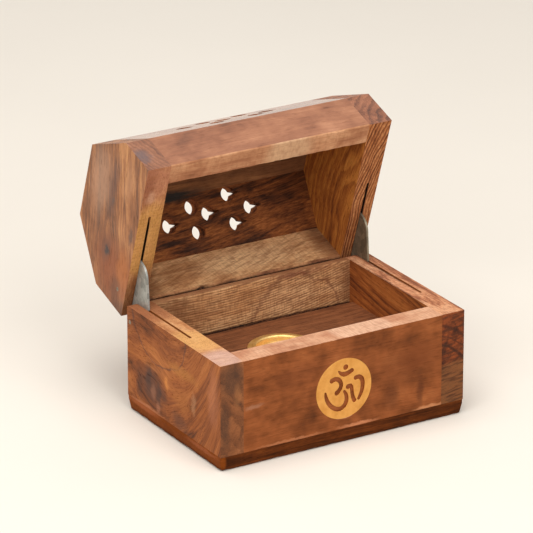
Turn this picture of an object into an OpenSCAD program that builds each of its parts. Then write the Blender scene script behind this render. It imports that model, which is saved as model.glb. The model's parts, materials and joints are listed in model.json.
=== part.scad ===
// Small hinged wooden incense box with a pierced lid, a brass cone dish and a brass inlay.
// Millimetres. Origin at the centre of the underside, +X right, +Y back, +Z up.
// The lid is drawn open on its stop, the way the photograph shows it.

/* [Box] */
// Outside length, left to right
body_l = 101.3; // [84:0.1:140]
// Outside depth, front to back
body_d = 66; // [58:0.5:90]
// Height of the base, table to rim
base_h = 40.4; // [36:0.2:60]
// Thickness of the end boards of base and lid
end_t = 9.4; // [8.6:0.1:13]
// Thickness of the base's front board
front_t = 9.3; // [5:0.1:13]
// Thickness of the base's back board
back_t = 3.8; // [3:0.1:9]

/* [Floor] */
// Thickness of the bottom plank under the four boards
bottom_t = 5.6; // [5:0.1:9]
// Height of the sanded bevel round the plank's foot
bevel_h = 4.2; // [1:0.1:4.6]
// How far that bevel runs in at the table
bevel_in = 0.7; // [0.3:0.1:2.4]
// Height of the inside floor above the table
floor_z = 24.5; // [20:0.5:26]
// Thickness of the floor panel
floor_t = 6; // [5:0.5:9]
// Depth of the grooves that hold the floor panel
groove_in = 3; // [1.5:0.5:5]
// Open slit between the floor panel and the back board
floor_slit = 2.2; // [0.4:0.1:3]

/* [Cone dish] */
// Outside diameter of the dish's flange
dish_d = 25.6; // [20:0.2:36]
// Diameter of the cup let into the floor
cup_d = 20.8; // [14:0.2:30]
// Depth of the cup below the floor
cup_sink = 3.2; // [2:0.1:4.4]
// Thickness of the brass
dish_wall = 0.8; // [0.5:0.1:1.5]
// Thickness of the flange
flange_t = 0.6; // [0.4:0.1:1]
// Thickness of the round bead on the lip of the cup
bead_d = 1; // [0.8:0.1:2]
// How far the dish sits right of the middle
dish_x = -3.6; // [-8:0.1:8]
// Gap round the cup in its recess
dish_fit = 0.05; // [0.02:0.01:0.2]

/* [Front inlay] */
// Diameter of the brass disc
disc_d = 23; // [16:0.5:30]
// Thickness of the brass disc
disc_t = 0.5; // [0.4:0.1:2]
// Height of the disc's centre above the table
disc_z = 21; // [18:0.5:24]
// Gap round the disc in its recess
disc_fit = 0.03; // [0.02:0.01:0.2]

/* [Lid] */
// Parting gap between base and lid when shut
lid_gap = 0.15; // [0.1:0.05:0.5]
// Height of the lid
lid_h = 37.7; // [34:0.1:50]
// Height of the upright back wall of the lid
lid_back_h = 19.5; // [16:0.1:24]
// Height of the upright front wall of the lid
lid_front_h = 16.75; // [14:0.05:24]
// How far the back slope leans in
back_lean = 18.5; // [15:0.1:22]
// How far the front slope leans in
front_lean = 15.85; // [13:0.05:20]
// Thickness of the lid's front wall
wall_t = 8.2; // [5:0.1:10]
// Thickness of the lid's back wall
lid_back_t = 5.4; // [4:0.1:10]
// Thickness of the lid's sloping boards
slope_t = 5.2; // [3.5:0.1:7]
// Thickness of the lid's top board
top_t = 4.7; // [2.5:0.1:6]

/* [Smoke holes] */
// Diameter of the drilled holes
hole_d = 5.6; // [3:0.1:6]
// How far a pointed hole runs out from its centre
hole_tip = 4.9; // [3.5:0.1:6]
// Sideways pitch of the holes
hole_pitch = 8.6; // [7.5:0.1:11]
// Pitch of the hole rows along the slope
hole_row = 5.3; // [4.5:0.1:6]
// Distance of the pattern's middle down from the slope's top arris
hole_down = 10.4; // [9.8:0.1:13]

/* [Hinge] */
// Opening angle at the stop
open_deg = 71.4; // [55:0.1:85]
// Hinge line in from the back face
pin_in = 1.9; // [1.7:0.1:2.6]
// Hinge line below the rim
pin_down = 5.9; // [5:0.1:7]
// Diameter of the nails
nail_d = 1.6; // [1.2:0.1:1.8]
// Length of the nails
nail_l = 7.6; // [6:0.1:8]
// Gap round a nail in the wood and in the lid end of a plate
nail_fit = 0.02; // [0.01:0.01:0.05]
// Running gap round the pivot nail in its plate
pin_gap = 0.05; // [0.02:0.01:0.1]
// Centre of the saw kerf in from the end face
kerf_in = 4.3; // [3.6:0.1:4.8]
// Thickness of a hinge plate
plate_t = 0.8; // [0.5:0.1:1.2]
// Gap each side of a plate in its kerf
plate_gap = 0.1; // [0.05:0.05:0.3]
// Radius of the longer kerfs, in the base's right end and the lid's left end
long_r = 35; // [33:0.5:40]
// Centre of the longer kerfs in front of the back face
long_fwd = 18; // [17:0.5:21]
// Radius of the shorter kerfs, in the base's left end and the lid's right end
short_r = 30; // [29:0.5:33]
// Centre of the shorter kerfs in front of the back face
short_fwd = 15; // [15:0.5:17]
// Gap left at the stop
stop_gap = 0.03; // [0.01:0.01:0.1]
// Radius of a plate's heel round the pivot
heel_r = 1.5; // [1.2:0.1:1.6]
// Reach of a plate from the back face
plate_reach = 24; // [20:0.5:28]
// Radius of a plate's nose
nose_r = 6.5; // [5:0.1:7]
// Half height of a plate at its widest
belly = 10.2; // [8:0.1:10.4]
// Distance of that widest place from the back face
belly_in = 9.6; // [8:0.1:12]
// Lid nail in from the back face
lid_nail_in = 8.3; // [7:0.1:10]
// Lid nail above the lid's rim
lid_nail_up = 5.4; // [4:0.1:7]

/* [Hidden] */
$fn = 96;
half_l = body_l / 2;
half_d = body_d / 2;
board_h = base_h - bottom_t;
well_l = body_l - 2 * end_t;
floor_d = body_d - front_t - back_t - floor_slit;
dish_y = (front_t - back_t) / 2;
pin_y = half_d - pin_in;
pin_z = base_h - pin_down;
rim_z = base_h + lid_gap;
kerf_w = plate_t + 2 * plate_gap;
kerf_back = pin_down + (heel_r + stop_gap - pin_in * cos(open_deg)) / sin(open_deg);
long_cut = [long_r, long_fwd, sqrt(long_r * long_r - long_fwd * long_fwd) - kerf_back];
short_cut = [short_r, short_fwd, sqrt(short_r * short_r - short_fwd * short_fwd) - kerf_back];
heel_back = pin_y + heel_r;
nose_y = half_d - plate_reach + nose_r;
belly_y = half_d - belly_in;
disc_r = disc_d / 2;
eps = 0.5;

// Outside corners of the shut lid, seen from its left end, from the back rim round to the front rim
out1 = [half_d, rim_z];
out2 = [half_d, rim_z + lid_back_h];
out3 = [half_d - back_lean, rim_z + lid_h];
out4 = [front_lean - half_d, rim_z + lid_h];
out5 = [-half_d, rim_z + lid_front_h];
out6 = [-half_d, rim_z];

// Inside corners, where the inner faces of neighbouring boards meet
back_dir = (out3 - out2) / norm(out3 - out2);
back_in = out2 + slope_t * [-back_dir[1], back_dir[0]];
front_dir = (out4 - out5) / norm(out4 - out5);
front_in = out5 + slope_t * [front_dir[1], -front_dir[0]];
back_wall_y = half_d - lid_back_t;
front_wall_y = wall_t - half_d;
under_z = rim_z + lid_h - top_t;
in1 = [back_wall_y, rim_z];
in2 = [back_wall_y, back_in[1] + (back_wall_y - back_in[0]) * back_dir[1] / back_dir[0]];
in3 = [back_in[0] + (under_z - back_in[1]) * back_dir[0] / back_dir[1], under_z];
in4 = [front_in[0] + (under_z - front_in[1]) * front_dir[0] / front_dir[1], under_z];
in5 = [front_wall_y, front_in[1] + (front_wall_y - front_in[0]) * front_dir[1] / front_dir[0]];
in6 = [front_wall_y, rim_z];

// Middle of each slope's hole pattern, and the holes as columns and rows about it
back_holes = out3 - back_dir * hole_down;
front_holes = out4 - front_dir * hole_down;
round_holes = [[-0.95, 0.8], [-0.87, -1]];
drop_holes = [[-2.19, -0.17], [-0.22, 0.14], [0.9, 1.17], [1.85, 0], [1, -0.93]];

// Strokes of the ornament as parts of the disc's radius: across, up and half the width at each point
bow = [[-0.19, 0.61, 0.023], [-0.12, 0.53, 0.057], [0, 0.475, 0.08], [0.13, 0.485, 0.082], [0.28, 0.54, 0.075]];
upper = [[-0.43, 0.345, 0.082], [-0.32, 0.375, 0.078], [-0.2, 0.335, 0.075], [-0.118, 0.225, 0.071],
    [-0.1, 0.1, 0.071], [-0.16, -0.015, 0.075], [-0.25, -0.095, 0.084]];
lower = [[-0.668, -0.03, 0.036], [-0.642, -0.18, 0.057], [-0.565, -0.365, 0.068], [-0.435, -0.525, 0.073],
    [-0.275, -0.63, 0.075], [-0.116, -0.65, 0.078], [0.013, -0.58, 0.078], [0.085, -0.455, 0.075],
    [0.1, -0.325, 0.071], [0.068, -0.19, 0.059], [0.015, -0.1, 0.043]];
tail = [[0.155, 0.03, 0.08], [0.24, 0.045, 0.071], [0.285, -0.06, 0.064], [0.3, -0.205, 0.062],
    [0.33, -0.35, 0.064], [0.385, -0.475, 0.068]];
hook = [[0.43, 0.272, 0.071], [0.54, 0.282, 0.073], [0.635, 0.212, 0.075], [0.68, 0.083, 0.075],
    [0.672, -0.12, 0.071], [0.62, -0.295, 0.064], [0.542, -0.44, 0.052]];
// A stroke's round end is this much wider than the stroke
end_over = 1.03;
dot_at = [0.064, 0.7];
dot_r = 0.088;

module along_x(len) {
    rotate([90, 0, 90])
        linear_extrude(height = len, center = true)
            children();
}

module along_y(len) {
    rotate([90, 0, 0])
        linear_extrude(height = len, center = true)
            children();
}

module rod(y, z, d, len) {
    translate([-half_l, y, z])
        rotate([0, 90, 0])
            cylinder(d = d, h = len);
}

// Turns a piece of the shut lid back to its stop
module opened() {
    translate([0, pin_y, pin_z])
        rotate([-open_deg, 0, 0])
            translate([0, -pin_y, -pin_z])
                children();
}

// Wood taken off the back of the rim so that the lid can swing over it
module back_ease() {
    difference() {
        translate([-half_l - eps, pin_y, pin_z])
            cube([body_l + 2 * eps, pin_in + eps, pin_down + eps]);
        translate([-half_l - 2 * eps, pin_y, pin_z])
            rotate([0, 90, 0])
                cylinder(r = pin_down, h = body_l + 4 * eps);
    }
}

// Slot of the round saw, its centre above or below the rim given
module kerf(cut, rim, side) {
    translate([kerf_in - kerf_w / 2 - half_l, half_d - cut[1], rim + side * cut[2]])
        rotate([0, 90, 0])
            cylinder(r = cut[0], h = kerf_w);
}

module base_end(cut) {
    difference() {
        translate([-half_l, -half_d, bottom_t])
            cube([end_t, body_d, board_h]);
        back_ease();
        kerf(cut, base_h, 1);
        rod(pin_y, pin_z, nail_d + 2 * nail_fit, nail_l);
        translate([-well_l / 2 - groove_in, front_t - half_d, floor_z - floor_t])
            cube([groove_in + eps, floor_d, floor_t]);
    }
}

module lid_end(cut) {
    opened()
        difference() {
            translate([end_t / 2 - half_l, 0, 0])
                along_x(end_t)
                    polygon([out1, out2, out3, out4, out5, out6]);
            kerf(cut, rim_z, -1);
            rod(half_d - lid_nail_in, rim_z + lid_nail_up, nail_d + 2 * nail_fit, nail_l);
        }
}

module hinge_plate() {
    opened()
        difference() {
            translate([kerf_in - plate_t / 2 - half_l, 0, 0])
                union() {
                    translate([0, pin_y, pin_z])
                        rotate([0, 90, 0])
                            cylinder(r = heel_r, h = plate_t);
                    translate([0, nose_y, rim_z])
                        rotate([0, 90, 0])
                            cylinder(r = nose_r, h = plate_t);
                    rotate([90, 0, 90])
                        linear_extrude(height = plate_t)
                            polygon([[heel_back, rim_z + lid_nail_up], [heel_back, pin_z],
                                [pin_y, pin_z - heel_r], [belly_y, base_h - belly],
                                [nose_y - nose_r * sin(17), rim_z - nose_r * cos(17)],
                                [nose_y - nose_r * sin(17), rim_z + nose_r * cos(17)],
                                [belly_y, rim_z + belly]]);
                }
            rod(pin_y, pin_z, nail_d + 2 * pin_gap, end_t);
            rod(half_d - lid_nail_in, rim_z + lid_nail_up, nail_d + 2 * nail_fit, end_t);
        }
}

module pivot_nail() {
    rod(pin_y, pin_z, nail_d, nail_l);
}

module lid_nail() {
    opened()
        rod(half_d - lid_nail_in, rim_z + lid_nail_up, nail_d, nail_l);
}

module slat(corners) {
    along_x(well_l)
        polygon(corners);
}

module hole_pattern(depth) {
    for (at = round_holes)
        translate([at[0] * hole_pitch, at[1] * hole_row, -depth])
            cylinder(d = hole_d, h = 2 * depth);
    for (at = drop_holes)
        translate([at[0] * hole_pitch, at[1] * hole_row, -depth]) {
            cylinder(d = hole_d, h = 2 * depth);
            linear_extrude(height = 2 * depth)
                polygon([[0, 0.3 * hole_d], [0, -0.3 * hole_d], [hole_tip, 0]]);
        }
}

// Evenly rounded run of points through a stroke's own points
function between(p0, p1, p2, p3, t) = 0.5 * (2 * p1 + (p2 - p0) * t
    + (2 * p0 - 5 * p1 + 4 * p2 - p3) * t * t + (3 * p1 - p0 - 3 * p2 + p3) * t * t * t);
function run(s) = [for (i = [0 : len(s) - 2]) for (t = [0, 0.5])
    between(s[max(i - 1, 0)], s[i], s[i + 1], s[min(i + 2, len(s) - 1)], t)];
function points(s) = concat(run(s), [s[len(s) - 1]]);
function step(p, i) = [for (k = [0, 1]) p[min(i + 1, len(p) - 1)][k] - p[max(i - 1, 0)][k]];
function edge(p, i, side) = let (d = step(p, i), n = norm(d))
    [p[i][0] - side * p[i][2] * d[1] / n, p[i][1] + side * p[i][2] * d[0] / n] * disc_r;

module stroke(s, depth) {
    p = points(s);
    last = len(p) - 1;
    linear_extrude(height = depth)
        polygon(concat([for (i = [0 : last]) edge(p, i, 1)], [for (i = [last : -1 : 0]) edge(p, i, -1)]));
    for (q = [p[0], p[last]])
        translate([q[0] * disc_r, q[1] * disc_r, 0])
            cylinder(r = end_over * q[2] * disc_r, h = depth);
}

module base_left_end() {
    color([0.5, 0.27, 0.13])
        base_end(short_cut);
}

module base_right_end() {
    color([0.5, 0.27, 0.13])
        mirror([1, 0, 0])
            base_end(long_cut);
}

module base_front_board() {
    color([0.48, 0.25, 0.13])
        difference() {
            translate([-well_l / 2, -half_d, bottom_t])
                cube([well_l, front_t, board_h]);
            translate([0, disc_t - half_d, disc_z])
                rotate([90, 0, 0])
                    cylinder(d = disc_d + 2 * disc_fit, h = disc_t + eps);
        }
}

module base_back_board() {
    color([0.6, 0.38, 0.22])
        difference() {
            translate([-well_l / 2, half_d - back_t, bottom_t])
                cube([well_l, back_t, board_h]);
            back_ease();
        }
}

module bottom_board() {
    color([0.36, 0.2, 0.11])
        intersection() {
            along_y(body_d)
                polygon([[bevel_in - half_l, 0], [half_l - bevel_in, 0], [half_l, bevel_h],
                    [half_l, bottom_t], [-half_l, bottom_t], [-half_l, bevel_h]]);
            along_x(body_l)
                polygon([[bevel_in - half_d, 0], [half_d - bevel_in, 0], [half_d, bevel_h],
                    [half_d, bottom_t], [-half_d, bottom_t], [-half_d, bevel_h]]);
        }
}

module floor_panel() {
    color([0.4, 0.23, 0.13])
        difference() {
            translate([-well_l / 2 - groove_in, front_t - half_d, floor_z - floor_t])
                cube([well_l + 2 * groove_in, floor_d, floor_t]);
            translate([dish_x, dish_y, floor_z - cup_sink])
                cylinder(d = cup_d + 2 * dish_fit, h = cup_sink + eps);
        }
}

module cone_dish() {
    color([0.86, 0.66, 0.28])
        translate([dish_x, dish_y, floor_z])
            difference() {
                union() {
                    translate([0, 0, -cup_sink])
                        cylinder(d = cup_d, h = cup_sink + flange_t / 2);
                    cylinder(d = dish_d, h = flange_t);
                    rotate_extrude()
                        translate([cup_d / 2, bead_d / 2])
                            circle(d = bead_d);
                }
                translate([0, 0, dish_wall - cup_sink])
                    cylinder(d = cup_d - 2 * dish_wall, h = cup_sink + bead_d);
            }
}

module front_disc() {
    color([0.86, 0.66, 0.3])
        translate([0, disc_t - half_d, disc_z])
            rotate([90, 0, 0])
                difference() {
                    cylinder(d = disc_d, h = disc_t);
                    translate([0, 0, -eps])
                        union() {
                            stroke(bow, disc_t + 2 * eps);
                            stroke(upper, disc_t + 2 * eps);
                            stroke(lower, disc_t + 2 * eps);
                            stroke(tail, disc_t + 2 * eps);
                            stroke(hook, disc_t + 2 * eps);
                            translate([dot_at[0] * disc_r, dot_at[1] * disc_r, 0])
                                cylinder(r = dot_r * disc_r, h = disc_t + 2 * eps);
                        }
                }
}

module pivot_nail_left() {
    color([0.45, 0.45, 0.46])
        pivot_nail();
}

module pivot_nail_right() {
    color([0.45, 0.45, 0.46])
        mirror([1, 0, 0])
            pivot_nail();
}

module lid_left_end() {
    color([0.58, 0.32, 0.15])
        lid_end(long_cut);
}

module lid_right_end() {
    color([0.58, 0.32, 0.15])
        mirror([1, 0, 0])
            lid_end(short_cut);
}

module lid_front_wall() {
    color([0.5, 0.26, 0.13])
        opened()
            slat([out5, out6, in6, in5]);
}

module lid_front_slope() {
    color([0.5, 0.27, 0.14])
        opened()
            difference() {
                slat([out4, out5, in5, in4]);
                translate([0, front_holes[0], front_holes[1]])
                    rotate([atan2(front_dir[1], front_dir[0]), 0, 0])
                        hole_pattern(slope_t + eps);
            }
}

module lid_top_board() {
    color([0.52, 0.3, 0.16])
        opened()
            slat([out3, out4, in4, in3]);
}

module lid_back_slope() {
    color([0.42, 0.22, 0.12])
        opened()
            difference() {
                slat([out2, out3, in3, in2]);
                translate([0, back_holes[0], back_holes[1]])
                    rotate([atan2(back_dir[1], back_dir[0]), 0, 0])
                        hole_pattern(slope_t + eps);
            }
}

module lid_back_wall() {
    color([0.62, 0.4, 0.24])
        opened()
            slat([out1, out2, in2, in1]);
}

module hinge_plate_left() {
    color([0.6, 0.61, 0.62])
        hinge_plate();
}

module hinge_plate_right() {
    color([0.6, 0.61, 0.62])
        mirror([1, 0, 0])
            hinge_plate();
}

module lid_nail_left() {
    color([0.45, 0.45, 0.46])
        lid_nail();
}

module lid_nail_right() {
    color([0.45, 0.45, 0.46])
        mirror([1, 0, 0])
            lid_nail();
}

base_left_end();
base_right_end();
base_front_board();
base_back_board();
bottom_board();
floor_panel();
cone_dish();
front_disc();
pivot_nail_left();
pivot_nail_right();
lid_left_end();
lid_right_end();
lid_front_wall();
lid_front_slope();
lid_top_board();
lid_back_slope();
lid_back_wall();
hinge_plate_left();
hinge_plate_right();
lid_nail_left();
lid_nail_right();
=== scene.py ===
import json
import math

import bmesh
import bpy
from mathutils import Matrix, Vector, noise


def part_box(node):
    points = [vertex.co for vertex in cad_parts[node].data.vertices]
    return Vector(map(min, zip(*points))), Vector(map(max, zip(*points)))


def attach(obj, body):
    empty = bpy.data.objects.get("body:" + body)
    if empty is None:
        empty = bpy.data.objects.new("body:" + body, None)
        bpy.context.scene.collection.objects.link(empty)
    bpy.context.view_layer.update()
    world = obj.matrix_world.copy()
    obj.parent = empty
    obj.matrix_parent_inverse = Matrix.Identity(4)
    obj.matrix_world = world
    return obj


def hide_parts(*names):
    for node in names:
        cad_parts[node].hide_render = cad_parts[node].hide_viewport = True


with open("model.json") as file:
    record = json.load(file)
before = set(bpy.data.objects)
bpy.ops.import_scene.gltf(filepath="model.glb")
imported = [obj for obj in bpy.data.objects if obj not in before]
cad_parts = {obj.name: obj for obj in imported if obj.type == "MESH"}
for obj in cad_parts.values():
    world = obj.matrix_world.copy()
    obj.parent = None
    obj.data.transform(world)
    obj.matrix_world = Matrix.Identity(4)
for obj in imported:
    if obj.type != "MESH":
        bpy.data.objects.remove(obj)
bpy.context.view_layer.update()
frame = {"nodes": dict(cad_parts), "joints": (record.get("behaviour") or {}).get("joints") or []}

mm = 0.001
toMm = (1000, 1000, 1000)                              # metres to millimetres in a material
scene = bpy.context.scene
cad = frame["nodes"]
hinge = frame["joints"][0]
pin = Vector(hinge["pos_m"])
swing = math.radians(hinge["range_deg"][1])            # from the open stop down to shut
shutLid = Matrix.Translation(pin) @ Matrix.Rotation(swing, 4, "X") @ Matrix.Translation(-pin)
openLid = shutLid.inverted()
print("frame:", len(cad), "nodes, hinge at", tuple(pin))


def tint(red, green, blue):                            # screen colour, 0 to 255, as a linear one
    parts = [c / 255 for c in (red, green, blue)]
    return tuple(c / 12.92 if c <= 0.04045 else ((c + 0.055) / 1.055) ** 2.4 for c in parts) + (1.0,)


# camera, floor and light

photoCamera = {"azimuth": -31.03, "elevation": 21.72, "lens": 300.5, "sensor": 36,
               "aim": (-2.55, 15.90, 51.3), "away": 1600.8, "clip": (0.05, 20)}   # mm, clip in metres


def placeCamera(cfg):
    turn, lift = math.radians(cfg["azimuth"]), math.radians(cfg["elevation"])
    back = Vector((math.sin(turn) * math.cos(lift), -math.cos(turn) * math.cos(lift), math.sin(lift)))
    right = Vector((math.cos(turn), math.sin(turn), 0))
    pose = Matrix((right, back.cross(right), back)).transposed().to_4x4()
    pose.translation = (Vector(cfg["aim"]) + back * cfg["away"]) * mm
    lens = bpy.data.cameras.new("photoCamera")
    lens.lens, lens.sensor_width = cfg["lens"], cfg["sensor"]
    lens.clip_start, lens.clip_end = cfg["clip"]
    camera = bpy.data.objects.new("photoCamera", lens)
    camera.matrix_world = pose
    scene.collection.objects.link(camera)
    scene.camera = camera


placeCamera(photoCamera)
scene.view_settings.view_transform = "Standard"


class Tap:                                             # one socket, so that shader sums read as sums
    def __init__(self, tree, socket):
        self.tree, self.socket = tree, socket

    def sum(self, operation, other=0.0, swap=False):
        node = self.tree.nodes.new("ShaderNodeMath")
        node.operation = operation
        for entry, value in zip(node.inputs, (other, self) if swap else (self, other)):
            plug(self.tree, entry, value)
        return Tap(self.tree, node.outputs[0])

    def __add__(self, other):
        return self.sum("ADD", other)

    def __sub__(self, other):
        return self.sum("SUBTRACT", other)

    def __rsub__(self, other):
        return self.sum("SUBTRACT", other, True)

    def __mul__(self, other):
        return self.sum("MULTIPLY", other)

    def __truediv__(self, other):
        return self.sum("DIVIDE", other)

    __radd__, __rmul__ = __add__, __mul__


def plug(tree, entry, value):
    if isinstance(value, Tap):
        tree.links.new(value.socket, entry)
    else:
        entry.default_value = value


class Finish:                                          # a material and its one way of adding nodes
    def __init__(self, name, fixed):
        self.material = bpy.data.materials.new(name)
        self.material.use_nodes = True
        self.tree = self.material.node_tree
        self.shader = self.tree.nodes["Principled BSDF"]
        for entry, value in fixed.items():
            self.shader.inputs[entry].default_value = value

    def node(self, kind, settings=None, sockets=None, out=0):
        node = self.tree.nodes.new(kind)
        for key, value in (settings or {}).items():
            if key == "stops":
                ramp = node.color_ramp
                while len(ramp.elements) < len(value):
                    ramp.elements.new(0.5)
                for stop, (place, colour) in zip(ramp.elements, value):
                    stop.position, stop.color = place, colour
            else:
                setattr(node, key, value)
        for key, value in (sockets or {}).items():
            plug(self.tree, node.inputs[key], value)
        return Tap(self.tree, node.outputs[out])

    def shade(self, entry, value):                     # links a varying value to the shader
        plug(self.tree, self.shader.inputs[entry], value)

    def stretch(self, vector, scale):
        return self.node("ShaderNodeVectorMath", {"operation": "MULTIPLY"}, {0: vector, 1: scale})

    def apart(self, vector, centre):
        return self.node("ShaderNodeVectorMath", {"operation": "SUBTRACT"}, {0: vector, 1: centre})

    def length(self, vector):
        return self.node("ShaderNodeVectorMath", {"operation": "LENGTH"}, {0: vector}, "Value")

    def shift(self, place, amount, by):                # place + amount * by
        return self.node("ShaderNodeVectorMath", {"operation": "MULTIPLY_ADD"}, {0: by, 1: amount, 2: place})

    def cloud(self, vector, scale, detail=2.0, rough=0.5, out="Fac"):
        place = self.stretch(vector, scale)
        return self.node("ShaderNodeTexNoise", {}, {"Vector": place, "Scale": 1.0, "Detail": detail,
                                                    "Roughness": rough}, out)

    def bands(self, way, scale, detail):               # noise along one value
        return self.node("ShaderNodeTexNoise", {"noise_dimensions": "1D"},
                         {"W": way, "Scale": scale, "Detail": detail})

    def ease(self, value, low, high, start=0.0, end=1.0):
        return self.node("ShaderNodeMapRange", {"interpolation_type": "SMOOTHSTEP"},
                         {"Value": value, "From Min": low, "From Max": high, "To Min": start, "To Max": end})

    def mix(self, part, first, second):
        return self.node("ShaderNodeMix", {"data_type": "RGBA"}, {0: part, 6: first, 7: second}, 2)

    def bump(self, height, strength, depth):
        self.shade("Normal", self.node("ShaderNodeBump", {}, {"Strength": strength, "Distance": depth,
                                                              "Height": height}))


studio = {"ambient": 0.42, "aim": (0, 0.01, 0.05),
          "floor": {"radius": 3.0, "colour": (232, 223, 210), "fleck": (237, 228, 215),
                    "fleckSize": (9, 9, 9), "rough": 0.85, "gloss": 0.2},
          "lamps": {"overhead": {"at": (-0.25, -0.1, 1.25), "size": 1.1, "power": 11},
                    "window": {"at": (-1.05, -0.75, 0.75), "size": 1.0, "power": 6},
                    "front": {"at": (0.1, -1.2, 0.9), "size": 1.2, "power": 9}}}


def setWorld(ambient):                                 # white where it is seen, dimmer as light
    world = bpy.data.worlds.new("studio")
    scene.world = world
    world.use_nodes = True
    tree = world.node_tree
    rays = tree.nodes.new("ShaderNodeLightPath").outputs
    seen = Tap(tree, rays["Is Camera Ray"]).sum("MAXIMUM", Tap(tree, rays["Is Glossy Ray"]))
    seen = seen.sum("MAXIMUM", Tap(tree, rays["Is Transmission Ray"]))
    plug(tree, tree.nodes["Background"].inputs["Color"], (1, 1, 1, 1))
    plug(tree, tree.nodes["Background"].inputs["Strength"], seen * (1 - ambient) + ambient)


def hangLamp(name, lamp, target):
    light = bpy.data.lights.new(name, "AREA")
    light.shape, light.size, light.energy = "DISK", lamp["size"], lamp["power"]
    holder = bpy.data.objects.new(name, light)
    holder.location = lamp["at"]
    aim = Vector(target) - Vector(lamp["at"])
    holder.rotation_euler = aim.to_track_quat("-Z", "Y").to_euler()
    scene.collection.objects.link(holder)


def meshOf(name, shape, materials):
    mesh = bpy.data.meshes.new(name)
    shape.to_mesh(mesh)
    shape.free()
    for material in materials:
        mesh.materials.append(material)
    return mesh


def layFloor(cfg):
    paper = Finish("paperFloor", {"Roughness": cfg["rough"], "Specular IOR Level": cfg["gloss"]})
    spot = paper.node("ShaderNodeTexCoord", out="Object")
    fleck = paper.cloud(spot, cfg["fleckSize"], 3)
    paper.shade("Base Color", paper.mix(fleck, tint(*cfg["colour"]), tint(*cfg["fleck"])))
    shape = bmesh.new()
    bmesh.ops.create_circle(shape, cap_ends=True, segments=96, radius=cfg["radius"])
    floor = bpy.data.objects.new("paperFloor", meshOf("paperFloor", shape, [paper.material]))
    scene.collection.objects.link(floor)


setWorld(studio["ambient"])
for lampName, lampCfg in studio["lamps"].items():
    hangLamp(lampName, lampCfg, studio["aim"])
layFloor(studio["floor"])
print("studio: camera, floor and", len(studio["lamps"]), "lamps")

# wood

along = {"x": (0, 0, 0), "y": (0, 0, -math.pi / 2)}    # turns a board's grain to x
plainWood = {                                          # where a board and its face say nothing else
    "lean": (0, 0, 0), "sweeps": [], "knots": [], "patches": [], "sawn": [], "eased": [],
    "ring": 2.6, "taper": 0.03, "swirl": 8, "swirlSize": (0.012, 0.03, 0.03),
    "figured": 0.7, "figureSize": (0.08, 0.08, 0.08), "figureDetail": 4, "ringed": 0.5,
    "streaked": 0.8, "streakSize": (0.008, 0.13, 0.13), "fibred": 0.5, "veined": 0.2, "pored": 0.35,
    "rough": 0.45, "gloss": 0.3, "waxed": 0.0, "relief": 0.3}
treeGrain = {                                          # the same in every board
    "wander": (0.03, 0.3, 0.3), "wanderBy": 1.4, "seasons": 0.43, "fibre": (0.06, 1.7, 1.7),
    "vein": (0.009, 0.22, 0.22), "veinEdge": (0.56, 0.7), "pore": (0.3, 3.4, 3.4), "poreEdge": (0.58, 0.68),
    "depth": 0.12}
toneStops = (0.2, 0.42, 0.62, 0.88)                    # where a face's four tones sit, light to dark


def mark(at, reach, strength, colour, core=0.3, stray=5, ragged=0.12, line=0):   # colour round a place
    return {"at": at, "reach": reach, "strength": strength, "colour": tint(*colour), "core": core,
            "stray": stray, "ragged": ragged, "line": line}


def sawn(grit, shade, colour, turn=(0, 0, 0), deep=1.0, centre=(0, 0, 0), pitch=0):   # saw marks
    return {"grit": grit, "shade": shade, "colour": tint(*colour), "turn": turn, "deep": deep,
            "centre": centre, "pitch": pitch}


def sanded(look, width, chips, *pairs, within=(-999, 999)):   # eased edges, each where two sides meet
    return {"look": look, "width": width, "chips": chips, "within": within,
            "pairs": {frozenset(pair.split()) for pair in pairs}}


def shutBox(wood, body):                               # millimetres in the shut box, for either body
    turn = Matrix.Rotation(swing if body == "lid" else 0, 3, "X")
    spot = wood.node("ShaderNodeTexCoord", out="Object")
    return wood.node("ShaderNodeMapping", {}, {"Vector": spot, "Scale": toMm, "Rotation": turn.to_euler(),
                                               "Location": (pin - turn @ pin) / mm})


def reachOf(wood, place, centre, reach):               # 1 on the surface of an ellipsoid round the centre
    return wood.length(wood.stretch(wood.apart(place, centre), [1 / r for r in reach]))


def intoLog(wood, box, look):                          # millimetres, grain along x, wandering like a tree
    for sweep in look["sweeps"]:                       # the grain climbs toward the front
        ahead = (sweep["from"] - wood.node("ShaderNodeSeparateXYZ", {}, {0: box}, 1)).sum("MAXIMUM", 0)
        box = wood.shift(box, ahead * ahead, (0, 0, -sweep["rise"]))
    for knot in look["knots"]:                         # the grain parts round a knot
        near = wood.ease(reachOf(wood, box, knot["at"], knot["reach"]), 0, 1, -knot["push"], 0)
        box = wood.shift(box, near, wood.apart(box, knot["at"]))
    turn = [a + b for a, b in zip(along[look["grain"]], look["lean"])]
    log = wood.node("ShaderNodeMapping", {}, {"Vector": box, "Rotation": turn, "Location": look["heart"]})
    drift = wood.cloud(log, look["swirlSize"], 2, 0.45, "Color")
    return wood.shift(log, (look["swirl"],) * 3, drift)


def addMark(wood, colour, box, fibre, patch):          # ragged at its edge, thinner between the fibres
    stray = patch["stray"]
    blur = wood.cloud(box, (patch["ragged"],) * 3, 3, 0.6, "Color")
    place = wood.shift(box, (stray,) * 3, blur)
    reach = reachOf(wood, place, [a + stray / 2 for a in patch["at"]], patch["reach"])
    if patch["line"]:                                  # a thin arc instead of a blot
        reach = (reach - 1).sum("ABSOLUTE") / patch["line"]
    share = wood.ease(reach, patch["core"], 1.1, patch["strength"], 0) * (0.6 + fibre * 0.8)
    return wood.mix(share, colour, patch["colour"])


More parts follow.
